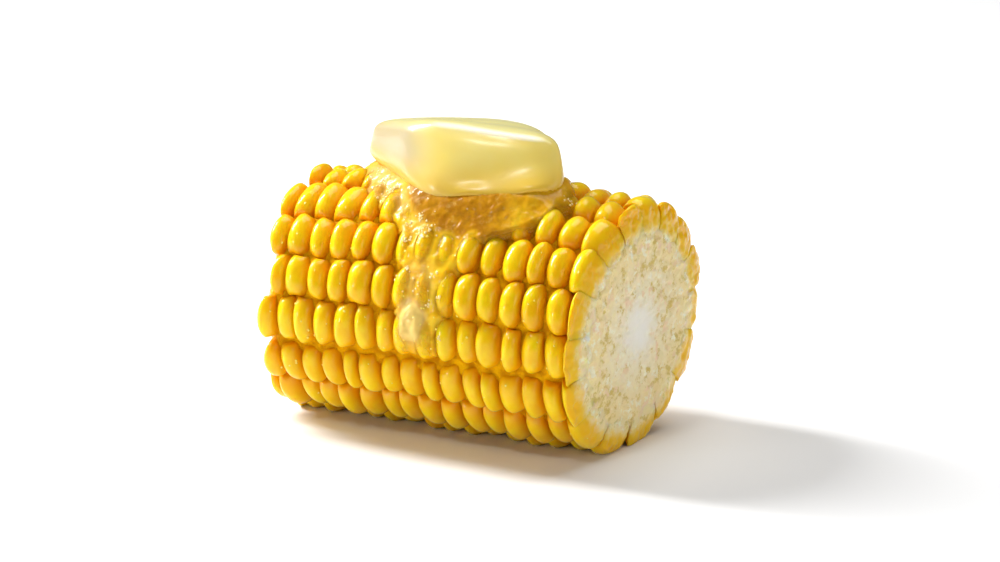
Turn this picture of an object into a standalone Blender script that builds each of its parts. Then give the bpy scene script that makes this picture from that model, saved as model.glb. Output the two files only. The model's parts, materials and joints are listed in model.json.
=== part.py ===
"""A short cut length of cooked corn on the cob, lying on its side, with a pat of butter melting on top.

Metres, +Z up. The cob's axis runs along X: the square cut faces -X and the slanting cut faces +X. The
origin is the bottom centre of the whole part's box, on the surface that the two lowest rows rest on.
"""

import math
import random

import bmesh
import bpy
from mathutils import Vector

# Driving dimensions of the cob. A radius is measured from the axis to the kernels' crowns.
COB_LENGTH = 0.0680
FAR_RADIUS = 0.0235
MIDDLE_RADIUS = 0.0246
NEAR_RADIUS = 0.0240
CORE_SHARE = 0.52  # the woody core's radius, as a share of the crown radius
CORE_STEPS = 12
OVERRUN = 0.1  # the core is made this much longer at each end, as a share of the length, and cut back
AXIS_SHARE = 0.957  # the axis stands at this share of the radius, so the lowest kernels press flat
CUT_SLANT_Y = 0.095  # how far the near cut runs on along X for each metre across the cob
CUT_SLANT_Z = 0.050  # and for each metre up

# Rows of kernels. Angles are degrees about the axis, from +Y towards +Z.
ROW_COUNT = 16
FIRST_ROW_ANGLE = 11.25
ROW_CROWDING = 8.5  # rows stand closer together on top and further apart beneath
CROWDING_CENTRE = 185.0
KERNEL_PITCH = 0.00435
PITCH_SPREAD = 0.10  # a kernel's thickness varies by up to this share of the pitch
# Places along a kernel, as shares of its thickness: its crease, then its two shoulders.
KERNEL_STATIONS = (0.0, 0.28, 0.72)
CREASE_DEPTH = 0.0012
CROWN_POINTS = (-1.0, -0.6, 0.0, 0.6, 1.0)  # across a row, from one side wall to the other
CROWN_DROP = 0.0027  # how far the crown falls from its ridge to a side wall
CROWN_POWER = 2.5

# Butter. Places are from the middle of the cob's axis. The pat is a six-sided lump with soft corners.
PAT_UNDER_CORNERS = (
    (-0.0020, -0.0157, 0.0209),
    (0.0240, -0.0090, 0.0245),
    (0.0120, 0.0150, 0.0190),
    (-0.0282, 0.0035, 0.0248),
)
PAT_TOP_CORNERS = (
    (-0.0076, -0.0095, 0.0370),
    (0.0200, -0.0030, 0.0348),
    (0.0050, 0.0130, 0.0337),
    (-0.0255, 0.0045, 0.0320),
)
PAT_SQUARENESS = 4.5  # 2 would be an egg, and a high number a sharp box
PAT_DIVISIONS = 10  # along each side of the lump
MELT_THICKNESS = 0.0008
MELT_ANGLES_PER_STEP = 3.0
MELT_POINTS_ACROSS = 7
# The melted butter's outline: an angle about the axis, then its two edges along X, in metres.
MELT_OUTLINE = (
    (100.0, -0.0190, 0.0205),
    (107.0, -0.0172, 0.0225),
    (116.0, -0.0140, 0.0230),
    (122.0, -0.0117, 0.0215),
    (127.0, -0.0098, 0.0185),
    (132.0, -0.0078, 0.0140),
    (138.0, -0.0062, 0.0095),
    (150.0, -0.0054, 0.0080),
    (162.0, -0.0048, 0.0074),
    (172.0, -0.0040, 0.0066),
    (184.0, -0.0024, 0.0044),
)

GAP = 0.0003  # between two pieces that touch
RANDOM_SEED = 11


def crown_radius(x):
    """The cob is a little fatter in the middle: a parabola through its three radii."""
    t = x / COB_LENGTH + 0.5
    straight = FAR_RADIUS + (NEAR_RADIUS - FAR_RADIUS) * t
    swell = MIDDLE_RADIUS - (FAR_RADIUS + NEAR_RADIUS) / 2
    return straight + 4 * swell * t * (1 - t)


def on_cob(x, angle, radius):
    """A point at this angle, in degrees, and this distance from the axis, but never below the table."""
    a = math.radians(angle)
    height = AXIS_SHARE * crown_radius(x) + radius * math.sin(a)
    return Vector((x, radius * math.cos(a), max(height, 0.0)))


def near_cut_plane():
    """A point on the slanting cut and its outward normal."""
    middle = on_cob(COB_LENGTH / 2, 0.0, 0.0)
    return middle, Vector((1.0, -CUT_SLANT_Y, -CUT_SLANT_Z)).normalized()


def row_angle(index):
    """The angle of a row's ridge. An index past the last row goes on round the cob."""
    even = FIRST_ROW_ANGLE + index * 360.0 / ROW_COUNT
    return even - ROW_CROWDING * math.cos(math.radians(even - CROWDING_CENTRE))


def row_walls(index):
    """The angles of the two planes, halfway to its neighbours, that a row stands between."""
    before, ridge, after = (row_angle(index + step) for step in (-1, 0, 1))
    return (before + ridge) / 2, (ridge + after) / 2


def add_object(name, bm, material):
    bmesh.ops.recalc_face_normals(bm, faces=bm.faces)
    mesh = bpy.data.meshes.new(name)
    bm.to_mesh(mesh)
    bm.free()
    mesh.materials.append(material)
    bpy.context.scene.collection.objects.link(bpy.data.objects.new(name, mesh))


def skin_rings(bm, rings):
    """Joins rings of points, one after another, into a closed body with flat ends."""
    loops = [[bm.verts.new(point) for point in ring] for ring in rings]
    count = len(loops[0])
    for one, two in zip(loops, loops[1:]):
        for i in range(count):
            j = (i + 1) % count
            bm.faces.new((one[i], one[j], two[j], two[i]))
    bm.faces.new(loops[0])
    bm.faces.new(loops[-1])


def cut_off(bm, point, normal):
    """Slices away what lies on the normal's side of a plane, and closes the cut."""
    everything = bm.verts[:] + bm.edges[:] + bm.faces[:]
    cut = bmesh.ops.bisect_plane(
        bm, geom=everything, dist=1e-7, plane_co=point, plane_no=normal, clear_outer=True
    )
    rim = [piece for piece in cut["geom_cut"] if isinstance(piece, bmesh.types.BMEdge)]
    bmesh.ops.contextual_create(bm, geom=rim)


def trim_ends(bm):
    far_point = on_cob(-COB_LENGTH / 2, 0.0, 0.0)
    cut_off(bm, far_point, Vector((-1.0, 0.0, 0.0)))
    cut_off(bm, *near_cut_plane())


def kernel_stations(dice):
    """Places along a row that runs past both cuts, each with True where it is a crease between kernels."""
    x = -COB_LENGTH / 2 - KERNEL_PITCH * (1 + dice.random())
    stations = []
    while x < COB_LENGTH / 2 + 2 * KERNEL_PITCH:
        pitch = KERNEL_PITCH * (1 + PITCH_SPREAD * dice.uniform(-1, 1))
        stations += [(x + share * pitch, share == 0.0) for share in KERNEL_STATIONS]
        x += pitch
    return stations


def row_ring(x, index, in_crease):
    """A row's outline at one place: its seat on the core, two side walls and a domed crown."""
    low, high = row_walls(index)
    ridge = row_angle(index)
    top = crown_radius(x) - (CREASE_DEPTH if in_crease else 0.0)
    seat = crown_radius(x) * CORE_SHARE + GAP
    ring = []
    for t in CROWN_POINTS:
        radius = top - CROWN_DROP * abs(t) ** CROWN_POWER
        wall = high if t > 0 else low
        inset = math.copysign(math.degrees(GAP / 2 / radius), wall - ridge)
        ring.append(on_cob(x, ridge + (wall - inset - ridge) * abs(t), radius))
    inset = math.degrees(GAP / 2 / seat)
    return ring + [on_cob(x, high - inset, seat), on_cob(x, low + inset, seat)]


def add_kernel_row(index, material):
    """One row of kernels, pressed together into a single strip from cut to cut."""
    dice = random.Random(RANDOM_SEED + index)
    bm = bmesh.new()
    skin_rings(bm, [row_ring(x, index, crease) for x, crease in kernel_stations(dice)])
    trim_ends(bm)
    add_object(f"kernel_row_{index + 1:02d}", bm, material)


def add_core(material):
    """The woody core that the rows grow on, with one flat for each row."""
    end = COB_LENGTH * (0.5 + OVERRUN)
    rings = []
    for step in range(CORE_STEPS + 1):
        x = -end + 2 * end * step / CORE_STEPS
        radius = crown_radius(x) * CORE_SHARE
        rings.append([on_cob(x, row_walls(i)[1], radius) for i in range(ROW_COUNT)])
    bm = bmesh.new()
    skin_rings(bm, rings)
    trim_ends(bm)
    add_object("cob_core", bm, material)


def pat_spot(side, depth, height):
    """Where a point of the cube from -1 to 1 lies in the pat, between its eight corners."""
    ends = []
    for front_left, front_right, back_right, back_left in (PAT_UNDER_CORNERS, PAT_TOP_CORNERS):
        front = Vector(front_left).lerp(Vector(front_right), (side + 1) / 2)
        back = Vector(back_left).lerp(Vector(back_right), (side + 1) / 2)
        ends.append(front.lerp(back, (depth + 1) / 2))
    return ends[0].lerp(ends[1], (height + 1) / 2)


def add_butter_pat(material):
    """A soft pat that has sunk onto the rows: its underside follows the melted butter on their crowns."""
    bm = bmesh.new()
    bmesh.ops.create_cube(bm, size=2.0)
    bmesh.ops.subdivide_edges(bm, edges=bm.edges[:], cuts=PAT_DIVISIONS - 1, use_grid_fill=True)
    axis_middle = on_cob(0.0, 0.0, 0.0)
    for vert in bm.verts:
        reach = sum(abs(part) ** PAT_SQUARENESS for part in vert.co) ** (1 / PAT_SQUARENESS)
        spot = axis_middle + pat_spot(*(vert.co / reach))
        out = Vector((0.0, spot.y, spot.z - on_cob(spot.x, 0.0, 0.0).z))
        clear = crown_radius(spot.x) + GAP + MELT_THICKNESS + GAP
        if out.length < clear:
            spot += out.normalized() * (clear - out.length)
        vert.co = spot
    add_object("butter_pat", bm, material)


def melt_edges(angle):
    """Where the melted butter starts and ends along X at this angle."""
    for (a, a_left, a_right), (b, b_left, b_right) in zip(MELT_OUTLINE, MELT_OUTLINE[1:]):
        if angle <= b:
            break
    t = (angle - a) / (b - a)
    return a_left + (b_left - a_left) * t, a_right + (b_right - a_right) * t


def melt_points(angle, lift):
    """A line of points across the melted butter, at this height over the crowns."""
    left, right = melt_edges(angle)
    last = MELT_POINTS_ACROSS - 1
    xs = [left + (right - left) * i / last for i in range(MELT_POINTS_ACROSS)]
    return [on_cob(x, angle, crown_radius(x) + lift) for x in xs]


def add_melted_butter(material):
    """A thin curved sheet of melted butter over the crowns, from under the pat down one side."""
    first, last = MELT_OUTLINE[0][0], MELT_OUTLINE[-1][0]
    steps = round((last - first) / MELT_ANGLES_PER_STEP)
    rings = []
    for step in range(steps + 1):
        angle = first + (last - first) * step / steps
        outside = melt_points(angle, GAP + MELT_THICKNESS)
        rings.append(melt_points(angle, GAP) + outside[::-1])
    bm = bmesh.new()
    skin_rings(bm, rings)
    add_object("melted_butter", bm, material)


def add_material(name, colour, roughness):
    material = bpy.data.materials.new(name)
    material.use_nodes = True
    shader = material.node_tree.nodes["Principled BSDF"]
    shader.inputs["Base Color"].default_value = (*colour, 1.0)
    shader.inputs["Roughness"].default_value = roughness
    shader.inputs["Metallic"].default_value = 0.0
    return material


def centre_on_origin():
    """Moves everything so that the part's box is centred on the origin and stands on it."""
    bpy.context.view_layer.update()
    corners = [obj.matrix_world @ Vector(c) for obj in bpy.data.objects for c in obj.bound_box]
    low = Vector([min(c[i] for c in corners) for i in range(3)])
    high = Vector([max(c[i] for c in corners) for i in range(3)])
    for obj in bpy.data.objects:
        obj.location -= Vector(((low.x + high.x) / 2, (low.y + high.y) / 2, low.z))


def main():
    for obj in list(bpy.data.objects):
        bpy.data.objects.remove(obj)
    kernel = add_material("kernel", (0.90, 0.58, 0.03), 0.25)
    core = add_material("core", (0.82, 0.76, 0.58), 0.80)
    butter = add_material("butter", (0.93, 0.85, 0.48), 0.30)
    melted = add_material("melted_butter", (0.90, 0.66, 0.15), 0.10)
    add_core(core)
    for index in range(ROW_COUNT):
        add_kernel_row(index, kernel)
    add_butter_pat(butter)
    add_melted_butter(melted)
    centre_on_origin()


main()
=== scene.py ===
"""The looks of a buttered length of corn on the cob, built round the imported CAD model.

Everything is in the CAD model's own frame, in metres. Angles are degrees about the cob's axis, from +Y
towards +Z, so 180 faces the camera's side and 270 is underneath.
"""

import json
import math
import random

import bpy
import numpy as np
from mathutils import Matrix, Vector, noise
from mathutils.bvhtree import BVHTree


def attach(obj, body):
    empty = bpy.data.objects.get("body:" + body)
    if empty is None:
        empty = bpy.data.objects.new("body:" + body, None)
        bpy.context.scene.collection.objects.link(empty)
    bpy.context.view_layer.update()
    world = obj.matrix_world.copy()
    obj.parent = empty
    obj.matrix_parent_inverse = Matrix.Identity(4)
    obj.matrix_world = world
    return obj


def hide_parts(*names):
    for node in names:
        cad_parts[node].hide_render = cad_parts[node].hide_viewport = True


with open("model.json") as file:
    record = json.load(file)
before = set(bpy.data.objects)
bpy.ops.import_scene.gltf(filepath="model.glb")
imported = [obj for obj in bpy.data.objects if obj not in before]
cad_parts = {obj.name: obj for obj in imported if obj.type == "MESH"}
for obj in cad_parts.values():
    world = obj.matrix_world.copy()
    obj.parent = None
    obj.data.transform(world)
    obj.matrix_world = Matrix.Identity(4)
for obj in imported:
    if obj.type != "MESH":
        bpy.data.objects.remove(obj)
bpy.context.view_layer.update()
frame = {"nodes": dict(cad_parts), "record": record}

MM = 0.001

# ---------------------------------------------------------------- what the CAD model says
mounts = {mount["name"]: mount for mount in frame["record"]["mounts"]}
FAR_X, AXIS_Y, FAR_Z = mounts["far_cut_face"]["pos_m"]
NEAR = mounts["near_cut_face"]["pos_m"]
NEAR_NORMAL = mounts["near_cut_face"]["axis"]
LENGTH = NEAR[0] - FAR_X
ROW_COUNT = sum(name.startswith("kernel_row") for name in frame["nodes"])

# The same radii and row angles as in the CAD model.
FAR_RADIUS = 23.5 * MM
MIDDLE_RADIUS = 24.6 * MM
NEAR_RADIUS = 24.0 * MM
AXIS_SHARE = FAR_Z / FAR_RADIUS
FIRST_ROW_ANGLE = 11.25
ROW_CROWDING = 8.5
CROWDING_CENTRE = 185.0

# ---------------------------------------------------------------- kernels
KERNEL_DIVISIONS = 14
LAST_DIVISIONS = 26  # the last kernels are finer, because the near cut slices them and they show its grain
KERNEL_FULLNESS = (2.0, 2.5, 2.2)  # along the row, across it and outwards: 2 is an egg, more is boxier
KERNEL_BASE_RADIUS = 12.5 * MM
# How far a kernel would swell past its place, along the row and across it, if nothing pressed on it.
KERNEL_SWELL = (0.27, 0.31)
SWELL_VARIES = (0.8, 1.2)
LAST_WIDENS = 1.9  # the last kernels swell this much more across the row, so they merge
PRESS_SOFTNESS = 0.40 * MM
KERNEL_GAP = 0.02 * MM
CROWN_SPREAD = 0.26 * MM
LAST_SPREAD = 0.4  # the last kernels' crowns vary by this share of it
LEAN_SPREAD = 0.48 * MM
SKEW_SPREAD = 0.35 * MM
END_SKEW = 0.4  # the first and last kernels are skewed by this share of it
DENT_DEPTH = 0.24 * MM
DENT_RATES = (2.3, 1.9, 2.1)
# How far the first kernels' far sides fall back towards the creases, and how rounded that dome is.
FAR_DOME = 1.7 * MM
DOME_POWER = 2.2
# An overhanging kernel is flush with the far cut up to this radius, and reaches out fully this near its top.
OVERHANG_RADIUS = 16.6 * MM
OVERHANG_BELOW_TOP = 1.0 * MM
# How far the last kernels bulge back from the near cut at their crowns and at their sides.
ROUND_BACK = 0.8 * MM
ROUND_SIDES = 1.1 * MM
SIDE_POWER = 2.5
CUT_SOFTNESS = 2.0 * MM
CUT_FADE = (-0.9 * MM, 0.3 * MM)  # the looks of the cut fade in between these places, from before it
MERGE_GAP = -0.03 * MM  # where the cut smears the last kernels together
MERGE_SOFTNESS = 0.25 * MM
CREASE_SHADE_FADE = (0.15 * MM, 2.4 * MM)  # painted shade: a kernel's skin is painted darker and deeper orange this far below its top, down in the creases
CREASE_SHADE_AT_CUT = 0.45  # of which the cut kernels keep this share
TABLE_TOP = 0.02 * MM  # nothing goes lower than this
TABLE_SOFTNESS = 0.1 * MM

BOUNDARY_SPREAD = 0.085  # of the pitch
USUAL_PITCH = 4.32 * MM
SMALLEST_KERNEL = 0.33  # of the pitch: a thinner slice at a cut is left to its neighbour
FIRST_MIDDLE = (0.3, 1.0)  # where a first kernel's middle may be, in pitches from the far cut
LAST_MIDDLE_INSIDE = 0.1 * MM  # a last kernel's middle is at least this far inside the near cut
LAST_END_BEYOND = 0.5 * MM  # and its end at least this far beyond it
CUT_PROBE_RADIUS = 0.85 * NEAR_RADIUS  # where the length of a row is measured
# Where each row that faces the viewer starts: row number, first kernel's middle, pitch.
ROW_STARTS = {
    4: (1.0 * MM, 4.50 * MM),
    5: (0.0 * MM, 4.60 * MM),
    6: (2.0 * MM, 4.50 * MM),
    7: (3.5 * MM, 4.46 * MM),
    8: (1.5 * MM, 4.30 * MM),
    9: (2.1 * MM, 4.19 * MM),
    10: (3.2 * MM, 4.30 * MM),
}
# How far past the far cut a row's first kernel reaches (less than 0 stops short): row number, distance.
ROW_OVERHANGS = {
    4: 0.2 * MM,
    5: 1.9 * MM,
    6: 0.6 * MM,
    7: -1.6 * MM,
    8: 0.8 * MM,
    9: 0.7 * MM,
    10: 1.9 * MM,
    11: 1.0 * MM,
}
OVERHANG_SPREAD = 0.6 * MM
# Some rows don't reach a neighbour: row number, share of the way to the row before and after.
ROW_WIDTHS = {8: (1.0, 0.84), 9: (0.90, 1.0), 11: (1.0, 0.93), 12: (0.93, 0.93), 13: (0.93, 1.0)}
FULL_WIDTH = (1.0, 1.0)
MERGED_ROWS = (8, 9)  # at the near cut these two do reach each other
# The rows spread out towards the far end: the wall after this row turns by this angle there.
ROW_BENDS = {2: -4.0, 3: -7.0, 4: -6.5, 5: -1.0}
BEND_SPREAD = 1.5  # degrees
WALL_ZIGZAG = 0.54  # degrees
ZIGZAG_LENGTHS = (4.35, 13.0)  # mm
LONG_ZIGZAG = 0.8  # of the short one
# How much further out the near cut's pale part reaches on these rows: row number, distance (mm).
PALE_ENDS = {
    1: -0.5,
    2: -0.5,
    6: 0.8,
    7: 1.7,
    8: 2.2,
    9: 2.2,
    10: 1.8,
    11: 1.4,
    12: 1.6,
    13: 1.6,
    15: 1.5,
}

LOOK_FROM_RADIUS = 40 * MM  # outside everything on the cob
RANDOM_SEED = 7
FULL_TURN = 6.283  # of a wave, in radians
RANDOM_PHASE = 6.3


def crown_radius(x):
    t = (x - FAR_X) / LENGTH
    straight = FAR_RADIUS + (NEAR_RADIUS - FAR_RADIUS) * t
    swell = MIDDLE_RADIUS - (FAR_RADIUS + NEAR_RADIUS) / 2
    return straight + 4 * swell * t * (1 - t)


def axis_z(x):
    return AXIS_SHARE * crown_radius(x)


def on_cob(x, angle, radius):
    """Points at these places along the cob, angles about it and distances from its axis."""
    a = np.radians(angle)
    x, y, z = np.broadcast_arrays(x, AXIS_Y + radius * np.cos(a), axis_z(x) + radius * np.sin(a))
    return np.stack([x, y, z], axis=-1)


def near_cut_x(y, z):
    """Where the slanting cut is at this height and distance across the cob."""
    slope = NEAR_NORMAL[1] * (y - NEAR[1]) + NEAR_NORMAL[2] * (z - NEAR[2])
    return NEAR[0] - slope / NEAR_NORMAL[0]


def row_angle(index):
    even = FIRST_ROW_ANGLE + index * 360.0 / ROW_COUNT
    return even - ROW_CROWDING * math.cos(math.radians(even - CROWDING_CENTRE))


def wall_angle(index, x):
    """The angle of the crease between this row and the next one, at places along the cob."""
    dice = random.Random(RANDOM_SEED * 50 + index % ROW_COUNT)
    bend = ROW_BENDS.get(index % ROW_COUNT, dice.uniform(-BEND_SPREAD, BEND_SPREAD))
    short_phase, long_phase = dice.uniform(0, RANDOM_PHASE), dice.uniform(0, RANDOM_PHASE)
    along = (x - FAR_X) / MM
    short_wave = np.sin(along * FULL_TURN / ZIGZAG_LENGTHS[0] + short_phase)
    long_wave = np.sin(along * FULL_TURN / ZIGZAG_LENGTHS[1] + long_phase)
    straight = (row_angle(index) + row_angle(index + 1)) / 2
    bent = bend * np.clip(1 - (x - FAR_X) / LENGTH, 0, 1) ** 2
    return straight + bent + WALL_ZIGZAG * (short_wave + LONG_ZIGZAG * long_wave)


def soft_min(a, b, softness):
    h = np.clip(0.5 + 0.5 * (b - a) / softness, 0, 1)
    return b * (1 - h) + a * h - softness * h * (1 - h)


def soft_max(a, b, softness):
    return -soft_min(-a, -b, softness)


def smoothstep(low, high, value):
    t = np.clip((value - low) / (high - low), 0, 1)
    return t * t * (3 - 2 * t)


def add_piece(name, points, faces, materials, nodes=(), attributes=None):
    """A smooth mesh that rides on the cob. attributes holds one number for each point under each name."""
    mesh = bpy.data.meshes.new(name)
    mesh.from_pydata([tuple(p) for p in points], [], [tuple(f) for f in faces])
    mesh.shade_smooth()
    for key, values in (attributes or {}).items():
        layer = mesh.attributes.new(key, "FLOAT", "POINT")
        layer.data.foreach_set("value", np.asarray(values, np.float32))
    for material in materials:
        mesh.materials.append(material)
    piece = bpy.data.objects.new(name, mesh)
    bpy.context.scene.collection.objects.link(piece)
    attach(piece, "root")
    if nodes:
        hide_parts(*nodes)
    return piece


def cube_sphere(divisions):
    """The points of a cube's surface from -1 to 1, spread evenly as on a sphere, and its faces."""
    steps = np.tan(np.linspace(-1, 1, divisions + 1) * math.pi / 4)
    index, points, faces = {}, [], []

    def number(point):
        key = tuple(np.round(point, 6))
        if key not in index:
            index[key] = len(points)
            points.append(point)
        return index[key]

    for axis in range(3):
        for side in (-1.0, 1.0):
            grid = np.zeros((divisions + 1, divisions + 1), int)
            for i, a in enumerate(steps):
                for j, b in enumerate(steps):
                    point = [0.0, 0.0, 0.0]
                    point[axis] = side
                    point[(axis + 1) % 3] = a
                    point[(axis + 2) % 3] = b
                    grid[i, j] = number(point)
            quads = np.stack([grid[:-1, :-1], grid[1:, :-1], grid[1:, 1:], grid[:-1, 1:]], axis=-1)
            faces.append(quads.reshape(-1, 4)[:, :: int(side)])
    return np.array(points), np.concatenate(faces)


def fill_out(points, fullness):
    """Draws each point in or out to |x|^a + |y|^b + |z|^c = 1."""
    low, high = np.zeros(len(points)), np.full(len(points), 2.0)
    for _ in range(40):
        middle = (low + high) / 2
        total = sum(np.abs(middle * points[:, i]) ** fullness[i] for i in range(3))
        low = np.where(total < 1, middle, low)
        high = np.where(total < 1, high, middle)
    return points * low[:, None]


def row_cells(index, dice):
    """The kernels' places along a row: (low end, middle, high end), from the far cut to the near one."""
    ridge = on_cob(NEAR[0], row_angle(index), CUT_PROBE_RADIUS)
    end = near_cut_x(ridge[1], ridge[2]) - FAR_X
    first, pitch = ROW_STARTS.get(index, (dice.uniform(*FIRST_MIDDLE) * USUAL_PITCH, USUAL_PITCH))
    walls = [first - pitch / 2]
    while walls[-1] < end:
        walls.append(walls[-1] + pitch)
    walls = [w + pitch * BOUNDARY_SPREAD * dice.uniform(-1, 1) for w in walls]
    start = -ROW_OVERHANGS.get(index, dice.uniform(-1, 1) * OVERHANG_SPREAD)
    walls = [w for w in walls if w - start > SMALLEST_KERNEL * pitch]
    while end - walls[-2] < SMALLEST_KERNEL * pitch:
        walls.pop()
    walls.insert(0, start)
    cells = [[low, (low + high) / 2, high] for low, high in zip(walls, walls[1:])]
    last = cells[-1]
    last[1] = min(last[1], end - LAST_MIDDLE_INSIDE)
    last[2] = max(last[2], end + LAST_END_BEYOND)
    return [tuple(FAR_X + place for place in cell) for cell in cells]


def kernel_points(shape, index, cell, place, dice):
    """One kernel: a plump wedge pressed by its neighbours, and how deep, cut and far out each point is.

    place is "first", "inner" or "last" in the row, from the far cut.
    """
    u, v, w = shape.T
    low, middle, high = cell
    spread = CROWN_SPREAD * (LAST_SPREAD if place == "last" else 1.0)
    top = crown_radius(middle) + max(-2, min(2, dice.gauss(0, 1))) * spread
    radius = (top + KERNEL_BASE_RADIUS) / 2 + w * (top - KERNEL_BASE_RADIUS) / 2
    dents = DENT_DEPTH
    for rate, part in zip(DENT_RATES, (u, v, w)):
        dents = dents * np.sin(rate * part + dice.uniform(0, RANDOM_PHASE))
    radius = radius + dents
    swell = 1 + KERNEL_SWELL[0] * dice.uniform(*SWELL_VARIES)
    wide = 1 + KERNEL_SWELL[1] * dice.uniform(*SWELL_VARIES) * (LAST_WIDENS if place == "last" else 1.0)
    lean, skew = dice.uniform(-1, 1) * LEAN_SPREAD, dice.uniform(-1, 1) * SKEW_SPREAD
    below = (middle - low) * (1.0 if place == "first" else swell)
    x = middle + np.where(u > 0, u * (high - middle) * swell, u * below)
    x = x + (lean * np.maximum(w, 0) + skew * v if place == "inner" else END_SKEW * skew * v)
    if place == "first":
        x = x + FAR_DOME * np.maximum(-u, 0) * np.minimum(np.abs(v) * wide, 1) ** DOME_POWER
        stands_out = smoothstep(OVERHANG_RADIUS, top - OVERHANG_BELOW_TOP, radius)
        x = soft_max(x, FAR_X + (low - FAR_X) * stands_out, PRESS_SOFTNESS)
    else:
        x = soft_max(x, low + KERNEL_GAP, PRESS_SOFTNESS)
    if place != "last":
        x = soft_min(x, high - KERNEL_GAP, PRESS_SOFTNESS)
    angle = pressed_angle(index, x, v * wide, top, place)
    points, cut = on_cob(x, angle, radius), np.zeros(len(x))
    if place == "last":
        points, cut = sliced(x, angle, radius, v, top)
    points[:, 2] = soft_max(points[:, 2], TABLE_TOP, TABLE_SOFTNESS)
    # deep carries painted shade: the skin is darkened towards the creases between kernels.
    deep = smoothstep(*CREASE_SHADE_FADE, top - radius) * (1 - (1 - CREASE_SHADE_AT_CUT) * cut)
    return points, deep, cut, radius / MM - PALE_ENDS.get(index, 0.0)


def pressed_angle(index, x, across, top, place):
    """Angles across a row, where the rows on both sides press in. across is 1 or -1 at its creases."""
    before, after = wall_angle(index - 1, x), wall_angle(index, x)
    merged = place == "last" and index in MERGED_ROWS
    low_share, high_share = FULL_WIDTH if merged else ROW_WIDTHS.get(index, FULL_WIDTH)
    ridge = (before + after) / 2
    before, after = ridge + (before - ridge) * low_share, ridge + (after - ridge) * high_share
    gap, soft = (MERGE_GAP, MERGE_SOFTNESS) if place == "last" else (KERNEL_GAP, PRESS_SOFTNESS)
    gap, soft = math.degrees(gap / top), math.degrees(soft / top)
    angle = ridge + across * np.where(across > 0, after - ridge, ridge - before)
    return soft_max(soft_min(angle, after - gap, soft), before + gap, soft)


def sliced(x, angle, radius, across, top):
    """A last kernel's points where the near cut ends it, and 1 for each point that is on the cut."""
    points = on_cob(x, angle, radius)
    limit = near_cut_x(points[:, 1], points[:, 2])
    cut = smoothstep(*CUT_FADE, x - limit)
    outward = np.clip((radius - CHAFF_RADIUS) / (top - CHAFF_RADIUS), 0, 1)
    limit = limit - ROUND_BACK * outward**2 - ROUND_SIDES * outward * np.abs(across) ** SIDE_POWER
    points = on_cob(soft_min(x, limit, CUT_SOFTNESS), angle, radius)
    points[:, 0] += cut * cut_relief(points)
    return points, cut


def cut_relief(points):
    """The kernels' share of the torn grain of the near cut."""
    return np.array([relief(y - AXIS_Y, z - axis_z(x), NEAR_SEED) for x, y, z in points])


def add_kernel_rows(material):
    """A piece for each row, and the whole surface of the rows for finding places on it."""
    shapes = {}
    for place in ("first", "inner", "last"):
        base, quads = cube_sphere(LAST_DIVISIONS if place == "last" else KERNEL_DIVISIONS)
        shapes[place] = fill_out(base, KERNEL_FULLNESS), quads[:, ::-1]
    every_point, every_face, total = [], [], 0
    for index in range(ROW_COUNT):
        dice = random.Random(RANDOM_SEED * 100 + index)
        cells = row_cells(index, dice)
        places = ["first"] + ["inner"] * (len(cells) - 2) + ["last"]
        points, faces, fields, count = [], [], [], 0
        for cell, place in zip(cells, places):
            shape, quads = shapes[place]
            found, *values = kernel_points(shape, index, cell, place, dice)
            points.append(found)
            faces.append(quads + count)
            fields.append([*values, np.full(len(found), dice.random())])
            count += len(found)
        points, faces = np.concatenate(points), np.concatenate(faces)
        values = [np.concatenate(column) for column in zip(*fields)]
        attributes = dict(zip(("deep", "cut", "radius", "tone"), values))
        number = f"{index + 1:02d}"
        nodes = [f"kernel_row_{number}"]
        add_piece(f"kernels_{number}", points, faces, [material], nodes, attributes)
        every_point.append(points)
        every_face.append(faces + total)
        total += count
    points, faces = np.concatenate(every_point), np.concatenate(every_face)
    return BVHTree.FromPolygons([tuple(p) for p in points], [tuple(f) for f in faces])


def surface_radius(tree, x, angle):
    """How far from the axis a surface reaches at each place, looking in from outside."""
    found = np.zeros(x.shape)
    for place in np.ndindex(x.shape):
        start = Vector(on_cob(x[place], angle[place], LOOK_FROM_RADIUS))
        centre = Vector(on_cob(x[place], angle[place], 0.0))
        hit = tree.ray_cast(start, (centre - start).normalized(), LOOK_FROM_RADIUS)
        found[place] = LOOK_FROM_RADIUS - hit[3] if hit[0] else KERNEL_BASE_RADIUS
    return found


# ---------------------------------------------------------------- the core and the two cut faces
PITH_RADIUS = 4.6 * MM
WOOD_RADIUS = 11.5 * MM
CHAFF_RADIUS = 18.6 * MM
CHAFF_WAVE = 0.7 * MM
CREASE_DEPTH = 2.7 * MM
CREASE_BUMPS = 0.6 * MM
SIDE_STEPS_IN = 4.0 * MM
SIDE_ENDS_INSIDE = 1.0 * MM  # the core's side stops this far inside both cuts
FACE_STANDS_OUT = 0.12 * MM
FACE_WANDER = 0.8 * MM
FACE_EDGE_ARC = 11.0  # degrees from a crease to where the face's edge is furthest in
# The torn grain of the cut faces: bumps per metre and height.
FINE_GRAIN = (1500, 0.16 * MM)
COARSE_GRAIN = (620, 0.34 * MM)
CHAFF_GRAIN = (140, 0.24 * MM)
CHAFF_SPOKES = 8
PITH_SMOOTHER = 0.6  # the pith loses this share of the grain
FACE_RINGS = 80
FACE_SPOKES = 380
SIDE_RINGS = 100
FAR_SEED, NEAR_SEED = 3.0, 8.0


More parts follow.
